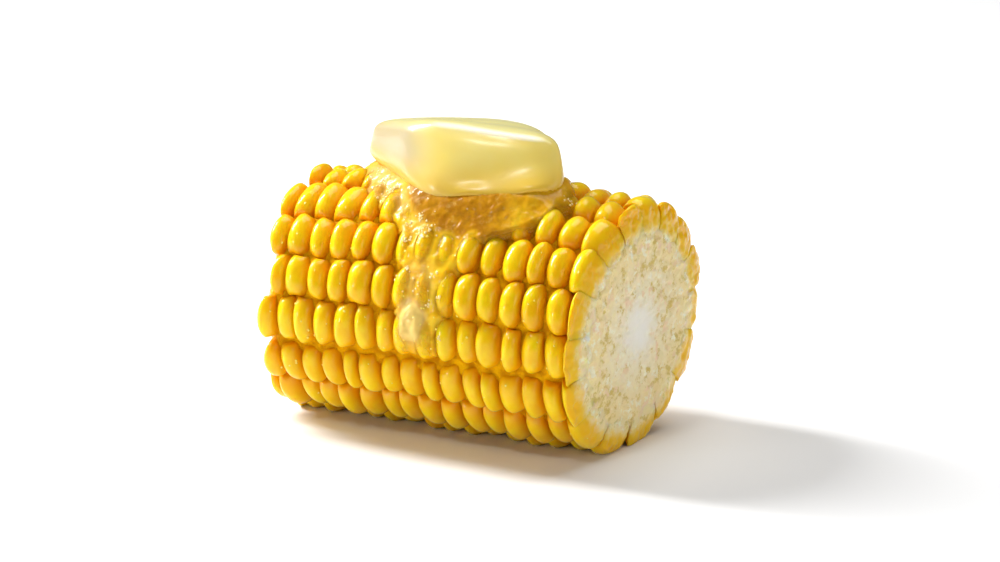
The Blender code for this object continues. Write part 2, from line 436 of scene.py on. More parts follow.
def relief(y, z, seed):
    """How far a cut face rises and falls at a point, from its torn fibres and papery chaff."""
    radius, angle = math.hypot(y, z), math.atan2(z, y)
    spot = Vector((y, z, seed * 0.1))
    pith = 1 - smoothstep(PITH_RADIUS - 1.5 * MM, PITH_RADIUS + 1.5 * MM, radius)
    chaff = smoothstep(WOOD_RADIUS - 1.0 * MM, WOOD_RADIUS + 2.0 * MM, radius)
    fine = noise.noise(spot * FINE_GRAIN[0])
    coarse = noise.noise(spot * COARSE_GRAIN[0])
    around = (math.cos(angle) * CHAFF_SPOKES, math.sin(angle) * CHAFF_SPOKES)
    spokes = noise.noise(Vector((*around, radius * CHAFF_GRAIN[0] + seed)))
    rough = FINE_GRAIN[1] * fine + COARSE_GRAIN[1] * coarse
    return rough * (1 - PITH_SMOOTHER * pith) + CHAFF_GRAIN[1] * spokes * chaff


def face_edge(angle, seed):
    """The torn edge of the pale part of a cut face: it runs out a little between the kernels."""
    walls = [(row_angle(i) + row_angle(i + 1)) / 2 for i in range(ROW_COUNT)]
    nearest = min(abs((angle - wall + 180) % 360 - 180) for wall in walls)
    between = 1 - min(nearest / FACE_EDGE_ARC, 1.0)
    a = math.radians(angle)
    wander = noise.noise(Vector((math.cos(a) * 6, math.sin(a) * 6, seed)))
    return CHAFF_RADIUS + CHAFF_WAVE * (2 * between - 1) + FACE_WANDER * wander


def face_ring(share, is_near, seed):
    """A ring of points on a cut face, at this share of the way from its middle to its edge."""
    ring = []
    for spoke in range(FACE_SPOKES):
        angle = 360.0 * spoke / FACE_SPOKES
        radius = face_edge(angle, seed) * share
        y, z = radius * math.cos(math.radians(angle)), radius * math.sin(math.radians(angle))
        rise = FACE_STANDS_OUT + relief(y, z, seed)
        rise -= 0.5 * MM * smoothstep(0.90, 0.99, share) + 1.0 * MM * smoothstep(0.985, 1.0, share)
        if is_near:
            height = z + axis_z(NEAR[0])
            ring.append((near_cut_x(y + AXIS_Y, height) + rise, y + AXIS_Y, height))
        else:
            ring.append((FAR_X - rise, y + AXIS_Y, z + FAR_Z))
    return ring


def side_ring(share):
    """A ring of the core's side, from the far cut to the near one: the bottom of the kernels' creases."""
    ring = []
    for spoke in range(FACE_SPOKES):
        angle = 360.0 * spoke / FACE_SPOKES
        place = on_cob(FAR_X, angle, CUT_PROBE_RADIUS)
        end = near_cut_x(place[1], place[2]) - SIDE_ENDS_INSIDE
        x = FAR_X + SIDE_ENDS_INSIDE + (end - FAR_X - SIDE_ENDS_INSIDE) * share
        a = math.radians(angle)
        bumps = noise.noise(Vector((x * 600, math.cos(a) * 14, math.sin(a) * 14)))
        crease = crown_radius(x) - CREASE_DEPTH + CREASE_BUMPS * bumps
        inner = smoothstep(0.0, SIDE_STEPS_IN, min(x - FAR_X, end - x) + 0.2 * MM)
        ring.append(tuple(on_cob(x, angle, CHAFF_RADIUS + (crease - CHAFF_RADIUS) * inner)))
    return ring


def add_core(material):
    """The woody core: one closed body, with a torn face at each cut."""
    shares = [(i / FACE_RINGS) ** 0.8 for i in range(1, FACE_RINGS + 1)]
    rings = [face_ring(share, False, FAR_SEED) for share in shares]
    rings += [side_ring(i / SIDE_RINGS) for i in range(SIDE_RINGS + 1)]
    rings += [face_ring(share, True, NEAR_SEED) for share in reversed(shares)]
    points = [p for ring in rings for p in ring]
    far_middle, near_middle = len(points), len(points) + 1
    points.append(tuple(np.mean(rings[0], axis=0)))
    points.append(tuple(np.mean(rings[-1], axis=0)))
    faces = []
    for r in range(len(rings) - 1):
        for s in range(FACE_SPOKES):
            t = (s + 1) % FACE_SPOKES
            a, b = r * FACE_SPOKES, (r + 1) * FACE_SPOKES
            faces.append((a + s, a + t, b + t, b + s))
    last = (len(rings) - 1) * FACE_SPOKES
    for s in range(FACE_SPOKES):
        t = (s + 1) % FACE_SPOKES
        faces.append((far_middle, t, s))
        faces.append((near_middle, last + s, last + t))
    radius = [math.hypot(p[1] - AXIS_Y, p[2] - axis_z(p[0])) / MM for p in points]
    facing = len(shares) * FACE_SPOKES
    is_side, is_far = np.zeros(len(points)), np.zeros(len(points))
    is_side[facing : facing + (SIDE_RINGS + 1) * FACE_SPOKES] = 1.0
    is_far[:facing] = is_far[far_middle] = 1.0
    looks = {"radius": radius, "side": is_side, "far": is_far}
    add_piece("cob_flesh", points, faces, [material], ["cob_core"], looks)


# ---------------------------------------------------------------- butter
# The pat's corners, as in the CAD model, from the middle of the cob's axis (mm): front left, front right,
# back right and back left.
PAT_UNDER_CORNERS = (
    (-2.0, -15.7, 20.9),
    (24.0, -9.0, 24.5),
    (12.0, 15.0, 19.0),
    (-28.2, 3.5, 24.8),
)
PAT_TOP_CORNERS = (
    (-7.6, -9.5, 37.0),
    (20.0, -3.0, 34.8),
    (5.0, 13.0, 33.7),
    (-25.5, 4.5, 32.0),
)
PAT_FULLNESS = (3.6, 5.5, 5.2)
PAT_DIVISIONS = 44
PAT_CLEARANCE = 0.5 * MM
PAT_LIFT_SOFTNESS = 0.5 * MM
PAT_INWARD = (-0.25, 0.95, 0.0)  # from its front towards its back
FOLD_DEPTH = 0.45 * MM
FOOT_SPREAD = 0.55 * MM
FOOT_DROOP = 0.5 * MM
RIDGE_HEIGHT = 0.30 * MM
LOBE_HEIGHT = 0.6 * MM
TROUGH_DEPTH = 0.35 * MM
PAT_WOBBLE = 0.16 * MM
PAT_WOBBLE_SCALE = 130  # bumps per metre

# The melted butter's outline: angle, left and right ends from the cob's middle (mm).
MELT_OUTLINE = (
    (84.0, -24.5, 21.0),
    (100.0, -22.5, 22.5),
    (107.0, -20.5, 23.5),
    (116.0, -17.2, 23.5),
    (122.0, -14.5, 21.5),
    (127.0, -12.2, 18.5),
    (132.0, -9.8, 14.0),
    (138.0, -7.4, 10.0),
    (150.0, -6.1, 8.6),
    (162.0, -5.8, 8.2),
    (172.0, -5.0, 7.6),
    (183.0, -4.6, 7.0),
    (194.0, -3.5, 5.0),
)
# Patches of it: place along the cob (mm), angle, half-length (mm), half-width (degrees) and how strong.
POOL = (9.0, 111.0, 18.5, 27.0, 1.0)
MILKY_PATCHES = (
    (-16.0, 104.0, 9.0, 21.0, 0.74),
    (-7.5, 119.0, 4.5, 9.0, 0.8),
    (-3.0, 131.0, 3.6, 8.0, 0.45),
    (0.0, 156.0, 4.5, 12.0, 0.38),
    (-0.3, 175.0, 3.6, 12.5, 1.5),
)
BLOB = (-0.3, 175.0, 3.3, 12.0, 1.0)
FILM_STEP = 0.30 * MM
FILM_ANGLE_STEP = 0.7
FILM_X = (-27.0 * MM, 27.0 * MM)
FILM_ANGLES = (84.0, 197.0)
FILM_COAT = 0.20 * MM
FILM_THICKNESS = 1.5 * MM
FILM_HIGHEST = 3.4 * MM  # above the crowns
FILM_KEPT_UNDER = 0.35 * MM  # the sheet goes on this far under the kernels
FILM_EDGE_SINKS = 2.4 * MM
POOL_ABOVE_CROWNS = 0.25 * MM
POOL_RISES = 1.9 * MM  # at the pat
VEIL_RISES = 1.5 * MM
# Bumps in the melted butter's edge and on its top: height, bumps per metre, seed.
FILM_RAGS = ((1.1 * MM, 380, 3.0), (0.5 * MM, 900, 9.0))
FILM_RIPPLES = ((0.20 * MM, 500, 21.0), (0.14 * MM, 1300, 33.0))
# Clumps of foam: place along the cob (mm), angle, spread (mm) and how many specks.
FOAM_CLUMPS = (
    (-18.5, 101.0, 2.0, 12),
    (-15.0, 109.0, 2.0, 14),
    (-12.5, 117.0, 1.2, 14),
    (-3.0, 128.0, 0.8, 12),
    (-5.0, 131.0, 1.2, 10),
    (-1.0, 134.0, 2.4, 16),
    (-3.5, 139.0, 0.5, 6),
    (-4.5, 140.0, 0.5, 7),
    (-2.5, 152.0, 0.6, 6),
    (3.0, 154.0, 0.7, 9),
    (-5.0, 157.5, 0.6, 6),
    (0.0, 160.0, 3.0, 8),
    (5.0, 163.0, 0.4, 3),
    (3.0, 166.5, 0.6, 7),
    (5.5, 181.0, 0.5, 5),
    (22.5, 104.0, 1.6, 12),
)
FOAM_SIZE = (0.12, 0.30)
FOAM_SUNK, DROP_SUNK = 0.4, 0.72  # of their radii
DROP_COUNT = 170
DROPS_FROM = 134.0  # the angle where the pool ends
DROP_SIZE = (0.16, 0.30)
DROPS_REACH = 31.0  # mm from the cob's middle, along it
DROPS_ANGLES = (165.0, 35.0)  # their middle and spread
BEAD_DIVISIONS = 4
ROUND = (2.0, 2.0, 2.0)
BEAD_HEIGHTS = (-1.2 * MM, 3.0 * MM)  # from the crowns: no beads lie lower or higher
BEAD_ABOVE_TABLE = 1.0 * MM
VEIL_REACH = 2.6 * MM
POOL_REACH = 5.0 * MM


def axis_middle():
    x = FAR_X + LENGTH / 2
    return np.array([x, AXIS_Y, axis_z(x)])


def pat_spots(local):
    """Where points of the cube from -1 to 1 lie in the pat, between its eight corners."""
    s, d, h = ((local + 1) / 2).T[:, :, None]
    under, top = np.array(PAT_UNDER_CORNERS) * MM, np.array(PAT_TOP_CORNERS) * MM
    spots = 0
    for corners, share in ((under, 1 - h), (top, h)):
        front_left, front_right, back_right, back_left = corners
        front = front_left * (1 - s) + front_right * s
        back = back_left * (1 - s) + back_right * s
        spots = spots + share * (front * (1 - d) + back * d)
    return spots + axis_middle()


def band(places):
    """1 where places are 0, falling smoothly away on both sides."""
    return np.exp(-(places**2))


def add_pat(material):
    """The soft pat: a lump with round edges, a slumped foot and a shallow fold along its front."""
    base, quads = cube_sphere(PAT_DIVISIONS)
    local = fill_out(base, PAT_FULLNESS)
    s, d, h = local.T
    points = pat_spots(local)
    inward = np.array(PAT_INWARD)
    front = smoothstep(-0.2, -0.8, d)
    fold = band((h + 0.25 - 0.35 * s) / 0.42) * smoothstep(-0.8, -0.1, s)
    foot = smoothstep(-0.35, -0.95, h)
    points += (FOLD_DEPTH * fold * front)[:, None] * inward
    points -= (FOOT_SPREAD * foot * front)[:, None] * inward
    # ridge is a low raised ridge along the front top edge, and it also marks where a painted highlight goes.
    ridge = band((h - 0.80 + 0.10 * s) / 0.10) * smoothstep(-0.6, -0.95, d)
    ridge = ridge * smoothstep(0.95, 0.6, np.abs(s))
    points -= (RIDGE_HEIGHT * ridge)[:, None] * inward
    lobe = np.exp(-(((s + 0.85) / 0.22) ** 2) - ((h + 0.45) / 0.30) ** 2) * smoothstep(0.0, -0.9, d)
    points -= (LOBE_HEIGHT * lobe)[:, None] * inward
    points[:, 2] -= FOOT_DROOP * foot * front * np.sin(7.0 * s + 1.0)
    trough = band((d + 0.25) / 0.22) * smoothstep(0.5, 0.9, h) * smoothstep(-0.9, -0.3, s)
    points[:, 2] -= TROUGH_DEPTH * trough
    # Known fault: noise_vector starts from a state that Blender seeds from the clock, so this wobble is
    # different in each run. noise.seed_set(RANDOM_SEED) before the loop would make it the same.
    for i, point in enumerate(points):
        points[i] += PAT_WOBBLE * np.array(noise.noise_vector(Vector(point) * PAT_WOBBLE_SCALE))
    out = points[:, 1:] - np.stack([np.full(len(points), AXIS_Y), axis_z(points[:, 0])], axis=1)
    length = np.hypot(out[:, 0], out[:, 1])
    clear = crown_radius(points[:, 0]) + PAT_CLEARANCE
    lifted = soft_max(length, clear, PAT_LIFT_SOFTNESS)
    points[:, 1:] += out / length[:, None] * (lifted - length)[:, None]
    # left marks the pat's left end, which is painted in shade because the key light falls on it from the
    # left.
    left = smoothstep(-0.40, 0.45, d - s) * smoothstep(-0.1, -1.0, s)
    looks = {"high": h, "left": left, "ridge": ridge}
    add_piece("butter_lump", points, quads, [material], ["butter_pat"], looks)
    return BVHTree.FromPolygons([tuple(p) for p in points], [tuple(q) for q in quads])


def blur(values, steps):
    """Values on a grid, each blurred with those this many steps round it."""
    reach = int(3 * steps)
    weights = np.exp(-0.5 * (np.arange(-reach, reach + 1) / steps) ** 2)
    weights /= weights.sum()
    for axis in (0, 1):
        padded = np.pad(values, [(reach, reach) if a == axis else (0, 0) for a in (0, 1)], mode="edge")
        values = np.apply_along_axis(lambda line: np.convolve(line, weights, mode="valid"), axis, padded)
    return values


def patch(x, angle, centre):
    """A soft round patch, 1 at its middle and 0 at its edge, times its strength."""
    place, turn, long, wide, strength = centre
    away = np.hypot((x / MM - place) / long, (angle - turn) / wide)
    return strength * smoothstep(1.15, 0.35, away)


def noise_field(x, angle, scale, seed):
    """Smooth noise over the cob's side. scale is in bumps per metre."""
    spots = on_cob(x, angle, crown_radius(x)).reshape(-1, 3) * scale + seed
    return np.array([noise.noise(Vector(spot)) for spot in spots]).reshape(x.shape)


def depth_inside(x, angle):
    """How far inside the melted butter's ragged outline each place is, in metres."""
    turns, lefts, rights = np.array(MELT_OUTLINE).T
    left, right = np.interp(angle, turns, lefts) * MM, np.interp(angle, turns, rights) * MM
    below = (turns[-1] - angle) * math.radians(1) * MIDDLE_RADIUS
    inside = np.minimum(np.minimum(x - left, right - x), below)
    for height, scale, seed in FILM_RAGS:
        inside = inside + height * noise_field(x, angle, scale, seed)
    return inside


def nearness(mask, reach, step):
    """1 on the mask, falling smoothly to 0 at a few reaches from it."""
    spread = blur(mask.astype(float), reach / step)
    return np.where(mask, 1.0, smoothstep(0.02, 0.5, spread))


def film_fields(tree, pat_tree, x, angle):
    """The melted butter's outer radius, and how it looks, at places on a grid."""
    along = x - (FAR_X + LENGTH / 2)
    ground = surface_radius(tree, x, angle)
    pat = surface_radius(pat_tree, x, angle) > KERNEL_BASE_RADIUS + 1e-6
    inside = depth_inside(along, angle)
    near_pat = nearness(pat, VEIL_REACH, FILM_STEP)
    pool_share = patch(along, angle, POOL)
    in_pool = smoothstep(0.02, 0.30, pool_share)
    pool_level = crown_radius(x) + POOL_ABOVE_CROWNS + POOL_RISES * nearness(pat, POOL_REACH, FILM_STEP)
    filled = smoothstep(0.0 * MM, 3.4 * MM, inside)
    veil_level = crown_radius(x) - (1.6 - 1.1 * filled) * MM + VEIL_RISES * near_pat
    level = veil_level + (pool_level - veil_level) * in_pool
    blob = patch(along, angle, BLOB)
    level = soft_max(level, crown_radius(x) + (2.5 * blob - 2.2) * MM, 0.4 * MM)
    ripple = sum(height * noise_field(along, angle, scale, seed) for height, scale, seed in FILM_RIPPLES)
    coat = soft_max(blur(ground, 1.6), ground, 0.15 * MM) + FILM_COAT + 0.3 * MM * blob
    outer = soft_max(coat, level, (0.6 + 1.0 * blob) * MM) + ripple
    outer = outer - FILM_EDGE_SINKS * smoothstep(2.6 * MM, -1.8 * MM, inside) * (1 - near_pat)
    outer = np.minimum(outer, crown_radius(x) + FILM_HIGHEST)
    over = np.clip((outer - ground) / MM, 0, 5)
    milk = np.max([patch(along, angle, p) for p in MILKY_PATCHES], axis=0)
    milk = np.minimum(np.maximum(milk, 0.45 * near_pat * (along < 0)), 1) * (1 - 0.9 * in_pool)
    # The pool's brown is painted lighter towards its right end: painted light on the slope that turns away
    # from the lights.
    deep = in_pool * smoothstep(0.0, 1.4, over) * (1 - 0.4 * smoothstep(10 * MM, 17 * MM, along))
    cover = 1 - np.exp(-(1.3 + 2.6 * milk + 4.0 * deep) * over)
    cover = np.maximum(cover, 0.95 * smoothstep(0.0, 1.0, blob) * smoothstep(0.0, 0.15, over))
    cover = cover * smoothstep(-0.6 * MM, 3.2 * MM, inside + 3.0 * MM * near_pat)
    cover = np.maximum(cover, 0.95 * smoothstep(0.6, 0.95, near_pat))
    return ground, outer, {"milk": milk, "pool": deep, "cover": np.clip(cover, 0, 0.96)}


def grid_shell(top, under, kept):
    """The points and faces of a closed sheet between two grids of points, where kept says so."""
    number = np.arange(kept.size + sum(kept.shape) + 1).reshape(kept.shape[0] + 1, kept.shape[1] + 1)
    cells = np.stack([number[:-1, :-1], number[1:, :-1], number[1:, 1:], number[:-1, 1:]], axis=-1)[kept]
    faces = [tuple(c[::-1]) for c in cells] + [tuple(c + number.size) for c in cells]
    edges = {}
    for cell in cells:
        for a, b in zip(cell, np.roll(cell, -1)):
            key = (min(a, b), max(a, b))
            edges[key] = None if key in edges else (a, b)
    faces += [(e[0], e[1], e[1] + number.size, e[0] + number.size) for e in edges.values() if e]
    points = np.concatenate([top.reshape(-1, 3), under.reshape(-1, 3)])
    used = np.unique(np.concatenate([np.array(f) for f in faces]))
    renumber = np.zeros(len(points), int)
    renumber[used] = np.arange(len(used))
    return points[used], [tuple(renumber[list(f)]) for f in faces], used


def add_film(tree, pat_tree, material):
    """Melted butter: a pool that drowns the kernels by the pat, and a thin run down the cob's side."""
    xs = np.arange(FILM_X[0], FILM_X[1], FILM_STEP)
    turns = np.arange(FILM_ANGLES[0], FILM_ANGLES[1], FILM_ANGLE_STEP)
    x, angle = np.meshgrid(xs, turns, indexing="ij")
    ground, outer, looks = film_fields(tree, pat_tree, x, angle)
    shown = outer > ground - FILM_KEPT_UNDER
    kept = shown[:-1, :-1] | shown[1:, :-1] | shown[1:, 1:] | shown[:-1, 1:]
    top, under = on_cob(x, angle, outer), on_cob(x, angle, outer - FILM_THICKNESS)
    points, faces, used = grid_shell(top, under, kept)
    fields = {key: np.tile(values.ravel(), 2)[used] for key, values in looks.items()}
    add_piece("butter_film", points, faces, [material], ["melted_butter"], fields)
    return BVHTree.FromPolygons([tuple(p) for p in points], [tuple(f) for f in faces])


def add_beads(trees, material):
    """Specks of foam in clumps on the melted butter, and fine drops of it on the kernels round about."""
    dice = random.Random(RANDOM_SEED * 7)
    spots = []
    for place, turn, spread, count in FOAM_CLUMPS:
        for _ in range(count):
            x = place + dice.gauss(0, 0.5) * spread
            angle = turn + math.degrees(dice.gauss(0, 0.5) * spread * MM / MIDDLE_RADIUS)
            spots.append((x, angle, dice.uniform(*FOAM_SIZE), 0.0))
    for _ in range(DROP_COUNT):
        x, angle = dice.uniform(-DROPS_REACH, DROPS_REACH), dice.gauss(*DROPS_ANGLES)
        if angle > DROPS_FROM:
            spots.append((x, angle, dice.uniform(*DROP_SIZE), 1.0))
    base, quads = cube_sphere(BEAD_DIVISIONS)
    base = fill_out(base, ROUND)
    points, faces, drops = [], [], []
    for x, angle, size, drop in spots:
        x = np.array([x * MM + FAR_X + LENGTH / 2])
        angle = np.array([angle])
        reach = max(surface_radius(tree, x, angle)[0] for tree in trees)
        sunk = DROP_SUNK if drop else FOAM_SUNK
        centre = on_cob(x, angle, reach - sunk * size * MM)[0]
        height = reach - crown_radius(x[0])
        if not BEAD_HEIGHTS[0] < height < BEAD_HEIGHTS[1] or centre[2] <= BEAD_ABOVE_TABLE:
            continue
        faces.append(quads + len(base) * len(points))
        points.append(centre + base * size * MM)
        drops.append(np.full(len(base), drop))
    points, faces, looks = np.concatenate(points), np.concatenate(faces), {"drop": np.concatenate(drops)}
    add_piece("butter_beads", points, faces, [material], (), looks)


# ---------------------------------------------------------------- materials
PITH_CREAM = (0.95, 0.90, 0.79)
WOOD_CREAM = (0.94, 0.81, 0.53)
WOOD_OUTSIDE = (0.94, 0.75, 0.38)
STRAW = (0.70, 0.53, 0.17)
CHAFF_PINK = (0.93, 0.68, 0.44)
CHAFF_PALE = (0.98, 0.91, 0.68)
# Painted shade for the far cut, which the key light falls square on.
FAR_CUT_SHADE = (0.50, 0.38, 0.20)
# Painted shade: the core's side at the bottom of the creases is coloured as shaded kernel flanks.
CREASE_SHADE_DARKER = (0.52, 0.21, 0.0005)
CREASE_SHADE_LIGHTER = (0.78, 0.40, 0.001)
SKIN_YELLOW = (0.90, 0.60, 0.003)
SKIN_GOLD = (0.87, 0.495, 0.002)
SKIN_BRIGHT = (0.92, 0.66, 0.004)
# Painted shade for the creases between kernels.
SKIN_CREASE_SHADE = (0.83, 0.36, 0.002)
SKIN_AT_CUT = (0.88, 0.46, 0.003)
RIM_INSIDE = (0.90, 0.54, 0.02)
RIM_OUTSIDE = (0.87, 0.47, 0.003)
BUTTER_DARKER = (0.90, 0.70, 0.15)
BUTTER_LIGHTER = (0.92, 0.75, 0.21)
BUTTER_SHADED = (0.52, 0.43, 0.24)
# Painted shade for the pat's top, which the lights fall on.
BUTTER_TOP_SHADE = (0.69, 0.63, 0.26)
BUTTER_FOOT = (0.80, 0.50, 0.04)
BUTTER_PAINTED_HIGHLIGHT = (0.93, 0.87, 0.68)
CLEAR_DARKER = (0.90, 0.49, 0.004)
CLEAR_LIGHTER = (0.94, 0.62, 0.02)
POOL_DARKER = (0.38, 0.15, 0.002)
POOL_LIGHTER = (0.56, 0.25, 0.003)
POOL_PALE = (0.84, 0.58, 0.18)
MILK_DARKER = (0.78, 0.43, 0.08)
MILK_LIGHTER = (0.77, 0.53, 0.20)
MILK_THICK = (0.89, 0.63, 0.17)
FOAM_CREAM = (0.95, 0.74, 0.30)
# The drops' butter yellow, painted brighter as painted highlight for their sparkle.
DROP_YELLOW_AND_SPARKLE = (0.97, 0.80, 0.11)


class Shading:
    """A Principled material and short ways to add nodes to it."""

    def __init__(self, name):
        self.material = bpy.data.materials.new(name)
        self.material.use_nodes = True
        self.tree = self.material.node_tree
        self.shader = self.tree.nodes["Principled BSDF"]

    def node(self, kind, **settings):
        made = self.tree.nodes.new(kind)
        for key, value in settings.items():
            setattr(made, key, value)
        return made

    def put(self, socket, value):
        if isinstance(value, bpy.types.NodeSocket):
            self.tree.links.new(value, socket)
        elif isinstance(value, tuple) and socket.type == "RGBA":
            socket.default_value = (*value, 1.0)
        else:
            socket.default_value = value

    def set(self, **values):
        for key, value in values.items():
            self.put(self.shader.inputs[key.replace("_", " ")], value)

    def attribute(self, name):
        return self.node("ShaderNodeAttribute", attribute_name=name).outputs["Fac"]

    def noise(self, scale, detail=3.0, roughness=0.55):
        place = self.node("ShaderNodeTexCoord").outputs["Object"]
        made = self.node("ShaderNodeTexNoise")
        self.put(made.inputs["Vector"], place)
        self.put(made.inputs["Scale"], scale)
        self.put(made.inputs["Detail"], detail)
        self.put(made.inputs["Roughness"], roughness)
        return made.outputs["Fac"]

    def ramp(self, value, low, high):
        made = self.node("ShaderNodeMapRange", interpolation_type="SMOOTHSTEP", clamp=True)
        self.put(made.inputs["Value"], value)
        self.put(made.inputs["From Min"], low)
        self.put(made.inputs["From Max"], high)
        return made.outputs["Result"]

    def math(self, operation, a, b):
        made = self.node("ShaderNodeMath", operation=operation)
        self.put(made.inputs[0], a)
        self.put(made.inputs[1], b)
        return made.outputs[0]

    def mix(self, share, a, b):
        made = self.node("ShaderNodeMix", data_type="RGBA")
        self.put(made.inputs[0], share)
        self.put(made.inputs[6], a)
        self.put(made.inputs[7], b)
        return made.outputs[2]

    def bump(self, height, distance, strength=1.0):
        made = self.node("ShaderNodeBump")
        self.put(made.inputs["Height"], height)
        self.put(made.inputs["Distance"], distance)
        self.put(made.inputs["Strength"], strength)
        self.put(self.shader.inputs["Normal"], made.outputs["Normal"])
        return made.outputs["Normal"]

    def see_through(self, cover):
        """Lets what is behind show where cover is low."""
        clear = self.node("ShaderNodeBsdfTransparent")
        mixed = self.node("ShaderNodeMixShader")
        self.put(mixed.inputs[0], cover)
        self.put(mixed.inputs[1], clear.outputs[0])
        self.put(mixed.inputs[2], self.shader.outputs[0])
        self.put(self.tree.nodes["Material Output"].inputs["Surface"], mixed.outputs[0])


def cut_flesh(m, radius):
    """The colour of a cut face: white pith, cream wood and straw-coloured chaff, by distance in mm."""
    wander = m.math("MULTIPLY", m.math("SUBTRACT", m.noise(330.0, 4.0), 0.5), 5.0)
    reach = m.math("ADD", radius, wander)
    colour = m.mix(m.ramp(reach, 1.5, 9.0), PITH_CREAM, WOOD_CREAM)
    colour = m.mix(m.ramp(reach, 8.0, 17.0), colour, WOOD_OUTSIDE)
    wood = m.ramp(reach, 3.0, 8.0)
    straw = m.math("MULTIPLY", m.ramp(m.noise(400.0, 5.0, 0.7), 0.50, 0.64), wood)
    colour = m.mix(straw, colour, STRAW)
    pink = m.math("MULTIPLY", m.ramp(m.noise(330.0, 3.0, 0.6), 0.54, 0.70), wood)
    colour = m.mix(pink, colour, CHAFF_PINK)
    pale = m.math("MULTIPLY", m.ramp(m.noise(430.0, 4.0, 0.7), 0.54, 0.66), wood)
    return m.mix(pale, colour, CHAFF_PALE)


def kernel_material():
    m = Shading("kernel_skin")
    skin = m.mix(m.attribute("tone"), SKIN_YELLOW, SKIN_GOLD)
    skin = m.mix(m.ramp(m.noise(260.0), 0.35, 0.7), skin, SKIN_BRIGHT)
    # Painted shade: the skin turns darker and deeper orange down in the creases.
    skin = m.mix(m.attribute("deep"), skin, SKIN_CREASE_SHADE)
    skin = m.mix(m.math("MULTIPLY", m.attribute("cut"), 0.7), skin, SKIN_AT_CUT)
    radius = m.attribute("radius")
    ragged = m.math("ADD", radius, m.math("MULTIPLY", m.math("SUBTRACT", m.noise(420.0), 0.5), 4.0))
    rim = m.mix(m.ramp(radius, 18.5, 23.0), RIM_INSIDE, RIM_OUTSIDE)
    flesh = m.mix(m.ramp(ragged, 17.0, 20.0), cut_flesh(m, radius), rim)
    cut = m.math("MULTIPLY", m.attribute("cut"), m.ramp(ragged, 23.0, 20.0))
    m.set(Base_Color=m.mix(cut, skin, flesh))
    m.set(Roughness=0.33, Specular_IOR_Level=0.06)
    m.set(Subsurface_Weight=0.5, Subsurface_Radius=(1.0, 0.5, 0.04), Subsurface_Scale=2.8 * MM)
    m.set(Coat_Weight=m.ramp(cut, 1.8, -0.1), Coat_Roughness=0.045, Coat_IOR=1.33)
    m.bump(m.noise(1100.0, 2.0), 0.06 * MM, 0.6)
    return m.material


def core_material():
    m = Shading("cob_flesh")
    # The core's side, seen only down in the creases, is painted dark orange as painted shade.
    crease = m.mix(m.ramp(m.noise(500.0, 4.0, 0.6), 0.35, 0.65), CREASE_SHADE_DARKER, CREASE_SHADE_LIGHTER)
    flesh = cut_flesh(m, m.attribute("radius"))
    # Painted shade: the far cut is painted darker, because the key light falls square on it.
    far_cut_shaded = m.mix(m.math("MULTIPLY", m.attribute("far"), 0.75), flesh, FAR_CUT_SHADE)
    colour = m.mix(m.attribute("side"), far_cut_shaded, crease)
    m.set(Base_Color=colour, Roughness=0.55, Specular_IOR_Level=0.02)
    m.set(Subsurface_Weight=0.30, Subsurface_Radius=(1.0, 0.7, 0.2), Subsurface_Scale=1.5 * MM)
    m.bump(m.noise(1800.0, 4.0, 0.65), 0.14 * MM, 0.7)
    return m.material


def butter_material():
    m = Shading("soft_butter")
    colour = m.mix(m.ramp(m.noise(90.0, 2.0), 0.35, 0.7), BUTTER_DARKER, BUTTER_LIGHTER)
    # Painted shade on the pat's left end, where the key light falls.
    colour = m.mix(m.attribute("left"), colour, BUTTER_SHADED)
    # Painted shade: the top, which the lights fall on, is painted darker and paler.
    colour = m.mix(m.ramp(m.attribute("high"), 0.55, 0.95), colour, BUTTER_TOP_SHADE)
    colour = m.mix(m.ramp(m.attribute("high"), 0.2, -0.95), colour, BUTTER_FOOT)
    # Painted highlight: a pale band along the ridge at the pat's front top edge.
    colour = m.mix(m.ramp(m.attribute("ridge"), 0.2, 1.0), colour, BUTTER_PAINTED_HIGHLIGHT)
    m.set(Base_Color=colour, Roughness=0.32, Specular_IOR_Level=0.4)
    m.set(Subsurface_Weight=0.35, Subsurface_Radius=(1.0, 0.8, 0.3), Subsurface_Scale=2.5 * MM)
    m.set(Coat_Weight=0.4, Coat_Roughness=0.16, Coat_IOR=1.4)
    m.bump(m.noise(600.0, 3.0), 0.05 * MM, 0.5)
    return m.material


def film_material():
    m = Shading("melted_butter")
    clear = m.mix(m.ramp(m.noise(350.0, 3.0), 0.35, 0.7), CLEAR_DARKER, CLEAR_LIGHTER)
    brown = m.mix(m.ramp(m.noise(380.0, 6.0, 0.65), 0.36, 0.68), POOL_DARKER, POOL_LIGHTER)
    pale = m.math("MULTIPLY", m.ramp(m.noise(420.0, 5.0, 0.7), 0.54, 0.72), 0.35)
    brown = m.mix(pale, brown, POOL_PALE)
    colour = m.mix(m.attribute("pool"), clear, brown)
    creamy = m.mix(m.ramp(m.noise(450.0, 4.0), 0.35, 0.7), MILK_DARKER, MILK_LIGHTER)
    creamy = m.mix(m.ramp(m.attribute("milk"), 0.75, 1.0), creamy, MILK_THICK)
    m.set(Base_Color=m.mix(m.attribute("milk"), colour, creamy), Roughness=0.30, Specular_IOR_Level=0.08)
    m.set(Subsurface_Weight=0.2, Subsurface_Radius=(1.0, 0.6, 0.2), Subsurface_Scale=1.2 * MM)
    m.set(Coat_Weight=0.7, Coat_Roughness=0.05, Coat_IOR=1.25)
    m.bump(m.noise(1000.0, 3.0), 0.08 * MM, 0.6)
    m.see_through(m.attribute("cover"))
    return m.material


